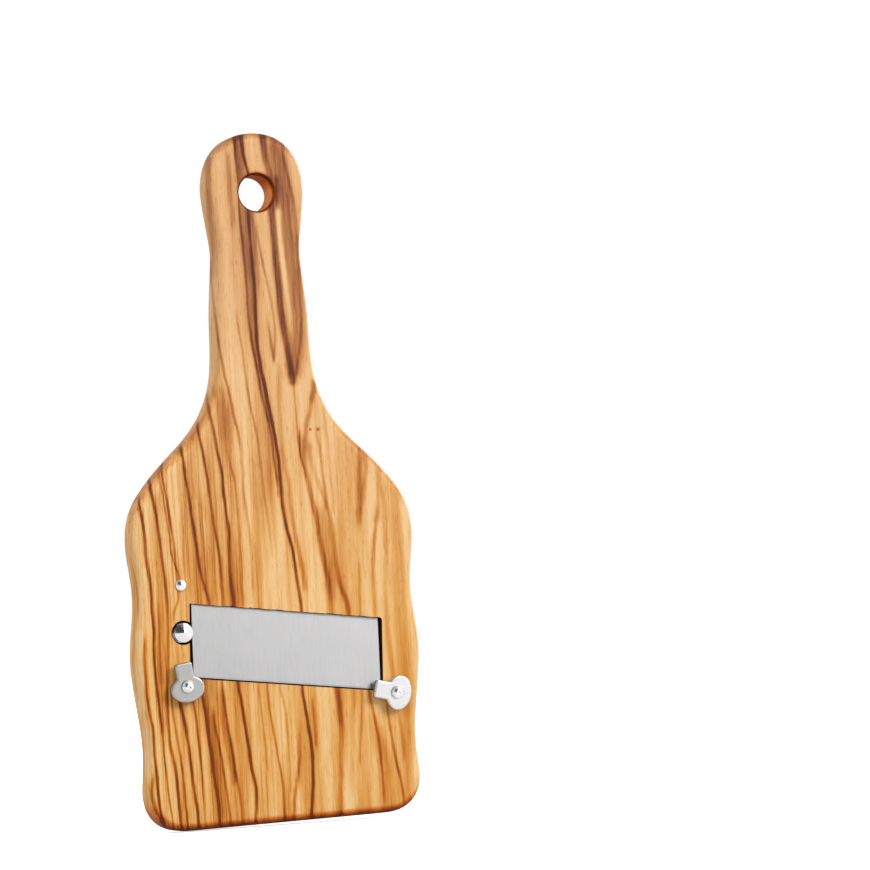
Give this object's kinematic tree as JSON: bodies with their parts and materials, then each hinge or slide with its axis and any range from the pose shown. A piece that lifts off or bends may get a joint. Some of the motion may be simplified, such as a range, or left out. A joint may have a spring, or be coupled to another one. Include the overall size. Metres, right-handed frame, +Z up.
{
  "type": "truffle slicer",
  "caption": "Wooden paddle slicer with a skewed steel blade set in its face, a screw and knob on the back that set slice thickness, swivel clips at the blade's corners and a hanging hole.",
  "frame": {"origin": "centre of the hanging hole, halfway through the board's thickness", "axes": "+Z up along the handle, front working face towards -Y, +X to the right as seen from the front"},
  "size_m": [0.0988, 0.0359, 0.2299],
  "materials": {
    "olive_wood": "oiled",
    "blade_steel": "brushed",
    "clip_steel": "satin",
    "sheet_steel": "satin",
    "washer_steel": "plain",
    "rivet_steel": "polished",
    "polished_steel": "polished",
    "spring_steel": "drawn wire",
    "bush_brass": "turned"
  },
  "bodies": {
    "frame": {"board": "olive_wood", "nut_bridge": "sheet_steel", "threaded_bush": "bush_brass", "bridge_pin": "rivet_steel", "friction_spring": "spring_steel", "left_clip_pivot": "rivet_steel", "right_clip_pivot": "rivet_steel", "left_clip_washer": "spring_steel", "right_clip_washer": "spring_steel", "right_rear_washer": "washer_steel"},
    "spring_seat": {"knob_washer": "washer_steel"},
    "adjuster": {"adjusting_screw": "polished_steel", "adjusting_knob": "polished_steel", "knob_lock_nut": "polished_steel"},
    "blade": {"blade": "blade_steel"},
    "left_clip": {"left_clip": "clip_steel"},
    "right_clip": {"right_clip": "clip_steel"}
  },
  "joints": [
    {"name": "adjuster_feed", "type": "slide", "parent": "frame", "child": "spring_seat", "axis": [0, 1, 0], "range_m": [-0.0005, 0.0007], "deforming": ["friction_spring"]},
    {"name": "adjuster_turn", "type": "hinge", "parent": "spring_seat", "child": "adjuster", "pos_m": [-0.0335, 0, -0.1447], "axis": [0, 1, 0], "range_deg": [-257, 360]},
    {"name": "blade_tilt", "type": "hinge", "parent": "frame", "child": "blade", "pos_m": [0.0346, -0.00394, -0.1513], "axis": [0, 0, 1], "range_deg": [-0.62, 0.45]},
    {"name": "left_clip_swing", "type": "hinge", "parent": "frame", "child": "left_clip", "pos_m": [-0.03395, 0, -0.16245], "axis": [0, -1, 0], "range_deg": [-90.5, 81.5]},
    {"name": "right_clip_swing", "type": "hinge", "parent": "frame", "child": "right_clip", "pos_m": [0.03884, 0, -0.16838], "axis": [0, -1, 0], "range_deg": [-167, 0]}
  ],
  "couplings": [
    {"joint": "adjuster_feed", "follows": "adjuster_turn", "m_per_rad": 0.0001114},
    {"joint": "blade_tilt", "follows": "adjuster_turn", "ratio": -0.0016931}
  ]
}
